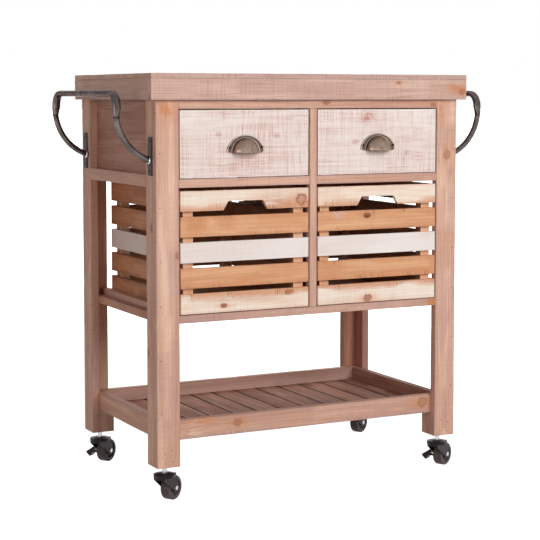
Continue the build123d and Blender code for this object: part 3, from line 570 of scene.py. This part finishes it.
# the lower side rails take the darker shade finish: painted shade
dressBoards("side_rails", [frameWood, shadeWood], finishOf=lambda middle, normal: middle.z < 0.5,
            stainOf=edgeStain)
for name in ("leg_front_left", "leg_front_right", "leg_back_left"):
    dressBoards(name, [legWood], markPlaces.get(name), stainOf=edgeStain)
for name in ("worktop_battens", "foot_blocks", "top_rail", "mid_rails", "bottom_rail", "center_divider",
             "back_panel", "back_rails", "drawer_runners", "crate_runners"):
    dressBoards(name, [frameWood], markPlaces.get(name), stainOf=edgeStain)
dressBoards("shelf_slats", [shelfWood])
print("worktop, frame and shelf boards made")

crateLow, crateHigh = (corner.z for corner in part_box("crate_left_front_slats"))
crateMiddle = sum(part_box("crate_left_wall_slats"), Vector()) / 2
slatKinds = ("light", "honey", "white", "bareInShade")  # in the order of a crate's finishes
tierLook = [  # from the bottom: finish, burnt band along the low and the high edge, its reach
    {"finish": "light", "stain": (0.25, 1.0, 0.011)}, {"finish": "honey", "stain": (0.9, 0.5, 0.008)},
    {"finish": "white", "stain": (0.3, 0.3, 0.005)}, {"finish": "honey", "stain": (0.8, 0.9, 0.008)},
    {"finish": "light", "stain": (0.9, 0.15, 0.012)}]


def tierOf(middle):
    share = (middle.z - crateLow) / (crateHigh - crateLow)
    return tierLook[min(len(tierLook) - 1, int(share * len(tierLook)))]


def slatFinish(middle, normal):
    finish = tierOf(middle)["finish"]
    inward = Vector((math.copysign(crateMiddle.x, middle.x) - middle.x, crateMiddle.y - middle.y, 0.0))
    if finish == "white" and normal.dot(inward) > 0.5 * inward.length:
        finish = "bareInShade"  # the white coat is on the outside only, and the inner faces take the darker pine: painted shade
    return slatKinds.index(finish)


# the drawer fronts reach a little lower, so that no light shows above the middle rail
slitCover = {"reach": 0.0011, "edge": 0.0015}
for side in ("left", "right"):
    panel = dressBoards(f"drawer_{side}_front", [drawerWash], markPlaces[f"drawer_{side}_front"])
    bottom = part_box(f"drawer_{side}_front")[0].z
    for vert in panel.data.vertices:
        if vert.co.z < bottom + slitCover["edge"]:
            vert.co.z -= slitCover["reach"]
    for part in ("sides", "back", "bottom"):
        dressBoards(f"drawer_{side}_{part}", [rawPine])
    # the wall slats take the darker pine in place of the light and honey finishes: painted shade
    for part, finishes in (("front_slats", [lightPine, honeyPine]), ("wall_slats", [shadedPine, shadedPine])):
        name = f"crate_{side}_{part}"
        dressBoards(name, finishes + [whiteSlat, shadedPine], markPlaces.get(name), finishOf=slatFinish,
                    stainOf=lambda middle: tierOf(middle)["stain"])
    # the faces of a post that do not face the front take the darker pine: painted shade
    dressBoards(f"crate_{side}_posts", [postPine, shadedPine], finishOf=lambda middle, normal: normal.y > -0.7)
    dressBoards(f"crate_{side}_floor", [rawPine])
print("drawers and crates made")


# metal and plastic
def makeHard(name, look):
    material = bpy.data.materials.new(name)
    material.use_nodes = True
    tree = material.node_tree
    shader = tree.nodes["Principled BSDF"]
    place = addNode(tree, "ShaderNodeTexCoord").outputs["Object"]
    cloud = cloudOn(tree, place, look["cloudScale"], 4.0, 0.6)
    fine = cloudOn(tree, place, look["fineScale"], 3.0)
    color = blendColor(tree, ramp(tree, cloud, 0.35, 0.65), paint(*look["base"]), paint(*look["worn"]))
    speck = calc(tree, "MULTIPLY", ramp(tree, fine, 0.5, 0.8), look["speckStrength"])
    color = blendColor(tree, speck, color, paint(*look["speck"]))
    if "patinaAndShade" in look:  # dark with patina and painted shade in the hollows, a painted highlight on the ridges, as the piece's own attribute says
        patinaAndShadeLevel = addNode(tree, "ShaderNodeAttribute", attribute_name="patinaAndShade").outputs["Fac"]
        color = blendColor(tree, ramp(tree, patinaAndShadeLevel, 0.0, 1.0, smooth=False), color, paint(*look["patinaAndShade"]))
        color = blendColor(tree, ramp(tree, patinaAndShadeLevel, 0.0, -1.0, smooth=False), color, paint(*look["ridgeHighlight"]))
    tree.links.new(color, shader.inputs["Base Color"])
    shader.inputs["Metallic"].default_value = look["metallic"]
    shader.inputs["Specular Tint"].default_value = paint(*look.get("edgeTint", (255, 255, 255)))
    rough = ramp(tree, cloud, 0.3, 0.7, look["roughLow"], look["roughHigh"])
    tree.links.new(rough, shader.inputs["Roughness"])
    bump = addNode(tree, "ShaderNodeBump", {"Height": fine, "Strength": look["bump"], "Distance": 0.0004})
    tree.links.new(bump.outputs[0], shader.inputs["Normal"])
    return material


darkIron = makeHard("darkIron", {
    "base": (82, 73, 72), "worn": (108, 99, 97), "speck": (52, 44, 43), "speckStrength": 0.5,
    "edgeTint": (160, 150, 148), "metallic": 0.8, "roughLow": 0.2, "roughHigh": 0.32, "cloudScale": 40.0,
    "fineScale": 420.0, "bump": 0.25})
plateIron = makeHard("plateIron", {
    "base": (62, 53, 53), "worn": (78, 69, 68), "speck": (40, 34, 34), "speckStrength": 0.5,
    "edgeTint": (100, 92, 92), "metallic": 0.5, "roughLow": 0.34, "roughHigh": 0.5, "cloudScale": 60.0,
    "fineScale": 500.0, "bump": 0.3})
# the dark hollow colour is patina and painted shade, and the near-white ridge colour is a painted highlight
antiqueBrass = makeHard("antiqueBrass", {
    "base": (138, 117, 105), "worn": (164, 143, 126), "speck": (104, 86, 76), "speckStrength": 0.3,
    "patinaAndShade": (62, 44, 40), "ridgeHighlight": (250, 240, 226), "metallic": 1.0, "roughLow": 0.26,
    "roughHigh": 0.36, "cloudScale": 75.0, "fineScale": 700.0, "bump": 0.1})
blackPlastic = makeHard("blackPlastic", {
    "base": (26, 20, 24), "worn": (38, 30, 34), "speck": (74, 66, 70), "speckStrength": 0.15,
    "edgeTint": (150, 140, 146), "metallic": 0.0, "roughLow": 0.3, "roughHigh": 0.44, "cloudScale": 60.0,
    "fineScale": 900.0, "bump": 0.12})
greyRubber = makeHard("greyRubber", {
    "base": (74, 66, 68), "worn": (98, 89, 88), "speck": (124, 116, 111), "speckStrength": 0.35,
    "edgeTint": (150, 140, 142), "metallic": 0.0, "roughLow": 0.5, "roughHigh": 0.68, "cloudScale": 70.0,
    "fineScale": 800.0, "bump": 0.2})
zincAndGlint = makeHard("zincAndGlint", {
    "base": (206, 206, 210), "worn": (182, 180, 180), "speck": (140, 136, 130), "speckStrength": 0.3,
    "metallic": 1.0, "roughLow": 0.2, "roughHigh": 0.34, "cloudScale": 120.0, "fineScale": 900.0,
    "bump": 0.1})
darkScrew = makeHard("darkScrew", {
    "base": (38, 31, 30), "worn": (54, 46, 44), "speck": (96, 84, 78), "speckStrength": 0.3,
    "metallic": 0.7, "roughLow": 0.16, "roughHigh": 0.28, "cloudScale": 200.0, "fineScale": 900.0,
    "bump": 0.1})
hardFinish = {"dark_iron": darkIron, "antique_brass": antiqueBrass, "black_plastic": blackPlastic,
              "grey_rubber": greyRubber, "zinc": zincAndGlint}
ownFinish = {"screws": darkScrew, "plates": plateIron}
for name, node in nodes.items():
    if slotOf[name] in hardFinish:
        node.data.materials.clear()
        node.data.materials.append(ownFinish.get(name.split("_")[-1], hardFinish[slotOf[name]]))
print("metal and plastic finished")


def addPiece(name, shape, materials, body, replaced=None):
    mesh = bpy.data.meshes.new(name)
    shape.to_mesh(mesh)
    shape.free()
    for material in materials:
        mesh.materials.append(material)
    piece = bpy.data.objects.new(name, mesh)
    bpy.context.scene.collection.objects.link(piece)
    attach(piece, body)
    if replaced:
        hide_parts(replaced)


# cup pull: a half bowl with a crease, a ridge, a flat flange and a bead round its rim. The flange's
# points hold the radius, the depth and the level of patina and painted shade, below zero a painted highlight
pullLook = {"cup": 0.030, "reach": 0.024, "wall": 0.0014, "turns": 40, "cupSteps": 14, "patinaAndShadeLevel": 0.9,
            "earCorner": 0.005, "earStart": 0.006,
            "flange": [(0.0302, 0.0006, 1.0), (0.0307, 0.0019, -0.9), (0.0311, 0.0013, 0.7),
                       (0.0341, 0.0013, 0.7), (0.0346, 0.0019, -1.0), (0.0351, 0.0016, 0.3)]}


def makePull(side):
    low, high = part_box(f"drawer_{side}_pull")
    halfWidth, rise = (high.x - low.x) / 2, high.z - low.z
    cup, reach, wall = pullLook["cup"], pullLook["reach"], pullLook["wall"]
    outer = []  # from the front of the bowl to the rim, and back inside after the flange
    # the bowl darkens from its front towards its rim: painted shade
    for step in range(pullLook["cupSteps"] + 1):
        share = step / pullLook["cupSteps"]
        angle = math.pi / 2 * share
        outer.append((cup * math.sin(angle), reach * math.cos(angle), pullLook["patinaAndShadeLevel"] * share ** 4))
    flange = pullLook["flange"] + [(rise, 0.0, 1.0)]
    # the inside of the bowl is darkened: painted shade
    inner = [(max(0.0, r - wall), max(0.0, d - wall), pullLook["patinaAndShadeLevel"]) for r, d, p in reversed(outer)]
    shape = bmesh.new()
    patinaAndShade = shape.verts.layers.float.new("patinaAndShade")
    verts = []
    for radius, depth, patinaAndShadeLevel in outer[:-1] + flange + inner:
        vert = shape.verts.new((radius, -depth, 0.0))
        vert[patinaAndShade] = patinaAndShadeLevel
        verts.append(vert)
    edges = [shape.edges.new(pair) for pair in zip(verts, verts[1:])]
    bmesh.ops.spin(shape, geom=verts + edges, cent=(0, 0, 0), axis=(0, -1, 0), angle=math.pi,
                   steps=pullLook["turns"])
    stretch = (halfWidth - cup) / (rise - cup)
    corner = pullLook["earCorner"]
    for vert in shape.verts:  # the flange widens into an ear on each side
        radius = math.hypot(vert.co.x, vert.co.z)
        if radius > cup:
            vert.co.x *= (cup + (radius - cup) * stretch) / radius
            share = min(1.0, max(0.0, 1 - vert.co.z / corner))
            if abs(vert.co.x) > cup + pullLook["earStart"]:
                vert.co.x -= math.copysign(corner * (1 - math.sqrt(1 - share * share)), vert.co.x)
    bmesh.ops.remove_doubles(shape, verts=shape.verts, dist=2e-5)
    rim = [edge for edge in shape.edges if edge.is_boundary]
    bmesh.ops.triangle_fill(shape, edges=rim, use_beauty=True)
    bmesh.ops.recalc_face_normals(shape, faces=shape.faces)
    bmesh.ops.translate(shape, verts=shape.verts, vec=((low.x + high.x) / 2, high.y, low.z))
    for face in shape.faces:
        face.smooth = abs(face.normal.z) < 0.999
    addPiece(f"drawer_{side}_cup_pull", shape, [antiqueBrass], bodyOf[f"drawer_{side}_pull"],
             f"drawer_{side}_pull")


for side in ("left", "right"):
    makePull(side)
print("cup pulls made")

# side handle: an oval grip with swept corners, sleeved on round arms that curve back to the legs
handleLook = {"radius": 0.0062, "oval": 0.0174, "corner": 0.028, "arm": 0.104, "straight": 0.006,
              "taper": 0.12, "sleeve": 0.0004, "weld": 0.0084, "weldNeck": 0.00589, "weldDepth": 0.0028,
              "facets": 20, "cornerSteps": 10, "taperSteps": 4, "armSteps": 12}


def makeHandle(side):
    low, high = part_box(f"handle_{side}")
    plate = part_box("handle_plates")[0].x  # both handles are made at the left and one is mirrored
    radius, corner, arm = handleLook["radius"], handleLook["corner"], handleLook["arm"]
    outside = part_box("handle_left")[0].x
    gripX, gripZ = outside + radius, high.z - radius
    armFront, armBack = low.y + handleLook["weld"], high.y - handleLook["weld"]
    middle = (armFront + armBack) / 2
    shape = bmesh.new()
    ring = bmesh.ops.create_circle(shape, segments=handleLook["facets"], radius=radius)["verts"]
    turn = Matrix.Rotation(math.pi / 2, 4, "X")
    bmesh.ops.transform(shape, matrix=Matrix.Translation((gripX, middle, gripZ)) @ turn, verts=ring)
    widen = handleLook["oval"] / (2 * radius)
    bmesh.ops.scale(shape, vec=(widen, 1, 1), space=Matrix.Translation((-outside, 0, 0)), verts=ring)
    edges = shape.edges[:]

    def sortOut(made):
        return ([item for item in made if isinstance(item, bmesh.types.BMVert)],
                [item for item in made if isinstance(item, bmesh.types.BMEdge)])

    def onward(vec):
        fresh, edge = sortOut(bmesh.ops.extrude_edge_only(shape, edges=edges)["geom"])
        bmesh.ops.translate(shape, vec=vec, verts=fresh)
        return fresh, edge

    def swing(centre, axis, angle, steps):
        made = bmesh.ops.spin(shape, geom=edges, cent=centre, axis=axis, angle=angle, steps=steps)
        return sortOut(made["geom_last"])

    fresh, edges = onward((0, armFront + corner - middle, 0))
    cornerPivot = (gripX, armFront + corner, gripZ - corner)
    fresh, edges = swing(cornerPivot, (1, 0, 0), math.pi / 2, handleLook["cornerSteps"])
    fresh, edges = onward((0, 0, -handleLook["straight"]))
    taperSteps = handleLook["taperSteps"]
    narrow = ((1 + handleLook["sleeve"] / radius) / widen) ** (1 / taperSteps)
    pivot = (gripX + arm, armFront, gripZ - corner - handleLook["straight"])
    for step in range(taperSteps):  # the oval narrows into the round arm, on its inner side
        space = Matrix.Translation((-min(v.co.x for v in fresh), 0, 0))
        bmesh.ops.scale(shape, vec=(narrow, 1, 1), space=space, verts=fresh)
        if step < taperSteps - 1:
            fresh, edges = swing(pivot, (0, -1, 0), handleLook["taper"] / (taperSteps - 1), 1)
    fresh, edges = onward((0, 0, 0))
    middleX, middleZ = (sum(v.co[i] for v in fresh) / len(fresh) for i in (0, 2))
    shrink = 1 - handleLook["sleeve"] / radius
    bmesh.ops.scale(shape, vec=(shrink, shrink, shrink), verts=fresh,
                    space=Matrix.Translation((-middleX, -armFront, -middleZ)))
    swept = math.acos((gripX + arm - plate) / arm)
    fresh, edges = swing(pivot, (0, -1, 0), swept - handleLook["taper"], handleLook["armSteps"])
    everything = shape.verts[:] + shape.edges[:] + shape.faces[:]
    bmesh.ops.bisect_plane(shape, geom=everything, plane_co=(plate, 0, 0), plane_no=(1, 0, 0),
                           clear_outer=True)
    foot = [edge for edge in shape.edges if edge.is_boundary and edge.verts[0].co.x > plate - 1e-4]
    bmesh.ops.contextual_create(shape, geom=foot)
    weldMiddle = (plate - handleLook["weldDepth"] / 2, armFront, low.z + handleLook["weld"])
    lay = Matrix.Translation(weldMiddle) @ Matrix.Rotation(-math.pi / 2, 4, "Y")
    weld = bmesh.ops.create_cone(shape, cap_ends=True, segments=handleLook["facets"],
                                 radius1=handleLook["weld"], radius2=handleLook["weldNeck"],
                                 depth=handleLook["weldDepth"], matrix=lay)["verts"]
    # the weld collar takes the bright zinc finish: a painted glint where the arm meets the plate
    for face in {face for vert in weld for face in vert.link_faces}:
        face.material_index = 1
    bmesh.ops.mirror(shape, geom=shape.verts[:] + shape.edges[:] + shape.faces[:],
                     matrix=Matrix.Translation((0, middle, 0)), axis="Y", merge_dist=1e-5)
    if side == "right":
        bmesh.ops.scale(shape, vec=(-1, 1, 1), verts=shape.verts)
    bmesh.ops.remove_doubles(shape, verts=shape.verts, dist=2e-5)
    bmesh.ops.recalc_face_normals(shape, faces=shape.faces)
    for face in shape.faces:
        face.smooth = len(face.verts) == 4
    addPiece(f"handle_{side}_bar", shape, [darkIron, zincAndGlint], bodyOf[f"handle_{side}"],
             f"handle_{side}")


for side in ("left", "right"):
    makeHandle(side)
print("side handles made")

# heads of the nails that join the boards of the legs, at these heights, and hold the foot blocks, at
# these places across and up from the leg's low corner
nailLook = {"radius": 0.0012, "topRadius": 0.00084, "proud": 0.00012, "inset": 0.0085,
            "heights": (0.1854, 0.2929, 0.4015, 0.4905, 0.5979, 0.7064),
            "foot": ((0.0326, 0.0347), (0.0168, 0.029), (0.0175, 0.0091), (0.0344, 0.0114))}
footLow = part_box("leg_front_left")[0].z
nails = bmesh.new()
for mirrored in (1, -1):
    places = [(left + nailLook["inset"], height) for height in nailLook["heights"]]
    places += [(left + across, footLow + height) for across, height in nailLook["foot"]]
    for x, z in places:
        for y, away in ((front, 1), (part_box("leg_back_left")[1].y, -1)):
            lay = Matrix.Translation((x * mirrored, y, z)) @ Matrix.Rotation(away * math.pi / 2, 4, "X")
            bmesh.ops.create_cone(nails, cap_ends=True, segments=8, radius1=nailLook["radius"],
                                  radius2=nailLook["topRadius"], depth=nailLook["proud"] * 2, matrix=lay)
addPiece("leg_nails", nails, [darkScrew], bodyOf["leg_front_left"])
print("nail heads made")

# floor, light and camera
studio = {"floorSize": 80.0, "floorTone": (0.44, 0.385, 0.345, 1.0), "glow": 1.85, "nearShare": 0.6,
          "nearEdge": 1.0, "farEdge": 3.0, "worldColor": (1.0, 0.92, 0.86, 1.0), "worldStrength": 0.11}
white = (1.0, 1.0, 1.0, 1.0)
lamps = {
    "keyLamp": {"place": (0.95, -4.1, 2.3), "target": (0.0, 0.0, 0.45), "size": 3.2, "power": 151.0,
                "color": (1.0, 1.0, 1.0), "mirrored": False},
    "sideLamp": {"place": (-3.55, -2.0, 0.9), "target": (0.0, 0.0, 0.55), "size": 2.2, "power": 35.0,
                 "color": (1.0, 0.85, 0.76), "mirrored": True},
    "backLamp": {"place": (0.6, 2.6, 3.4), "target": (0.0, 0.0, 0.7), "size": 2.5, "power": 54.0,
                 "color": (1.0, 0.97, 0.94), "mirrored": False},
}
floorMesh = bpy.data.meshes.new("floor")
floorShape = bmesh.new()
bmesh.ops.create_grid(floorShape, x_segments=1, y_segments=1, size=studio["floorSize"])
floorShape.to_mesh(floorMesh)
floorShape.free()
floor = bpy.data.objects.new("floor", floorMesh)
bpy.context.scene.collection.objects.link(floor)


def seenDirectly(tree):  # the camera, and what metal mirrors, see the white of the studio
    path = addNode(tree, "ShaderNodeLightPath")
    shiny = calc(tree, "MAXIMUM", path.outputs["Is Glossy Ray"], path.outputs["Is Transmission Ray"])
    return calc(tree, "MAXIMUM", path.outputs["Is Camera Ray"], shiny)


floorWhite = bpy.data.materials.new("floorWhite")
floorWhite.use_nodes = True
tree = floorWhite.node_tree
tree.nodes.remove(tree.nodes["Principled BSDF"])
matt = addNode(tree, "ShaderNodeBsdfDiffuse", {"Color": studio["floorTone"]})
glow = addNode(tree, "ShaderNodeEmission", {"Color": white, "Strength": studio["glow"]})
floorPlace = addNode(tree, "ShaderNodeTexCoord").outputs["Object"]
distance = addNode(tree, "ShaderNodeVectorMath", {0: floorPlace}, operation="LENGTH").outputs["Value"]
whiteShare = ramp(tree, distance, studio["nearEdge"], studio["farEdge"], studio["nearShare"], 1.0)
share = calc(tree, "MULTIPLY", seenDirectly(tree), whiteShare)
mixed = addNode(tree, "ShaderNodeMixShader", {0: share, 1: matt.outputs[0], 2: glow.outputs[0]})
tree.links.new(mixed.outputs[0], tree.nodes["Material Output"].inputs["Surface"])
floorMesh.materials.append(floorWhite)

world = bpy.data.worlds.new("studio")
bpy.context.scene.world = world
world.use_nodes = True
tree = world.node_tree
backdrop = tree.nodes["Background"]
seen = seenDirectly(tree)
tree.links.new(blendColor(tree, seen, studio["worldColor"], white), backdrop.inputs["Color"])
strength = ramp(tree, seen, 0.0, 1.0, studio["worldStrength"], 1.0, smooth=False)
tree.links.new(strength, backdrop.inputs["Strength"])

for name, look in lamps.items():
    lamp = bpy.data.lights.new(name, "AREA")
    lamp.shape = "DISK"
    lamp.size = look["size"]
    lamp.energy = look["power"]
    lamp.color = look["color"]
    holder = bpy.data.objects.new(name, lamp)
    holder.location = look["place"]
    aim = Vector(look["target"]) - Vector(look["place"])
    holder.rotation_euler = aim.to_track_quat("-Z", "Y").to_euler()
    holder.visible_glossy = look["mirrored"]
    bpy.context.scene.collection.objects.link(holder)

# yaw and pitch in degrees, the lens and its sensor in millimetres
lens = {"place": (-1.5115, -2.9809, 0.8207), "yaw": 26.957, "pitch": 4.523, "focal": 101.52,
        "sensor": 36.0, "shiftY": -0.1}
cameraData = bpy.data.cameras.new("camera")
cameraData.lens = lens["focal"]
cameraData.sensor_width = lens["sensor"]
cameraData.shift_y = lens["shiftY"]
camera = bpy.data.objects.new("camera", cameraData)
camera.location = lens["place"]
camera.rotation_euler = (math.radians(90.0 - lens["pitch"]), 0.0, math.radians(-lens["yaw"]))
bpy.context.scene.collection.objects.link(camera)
bpy.context.scene.camera = camera
bpy.context.scene.view_settings.view_transform = "Standard"
print("floor, light and camera set")
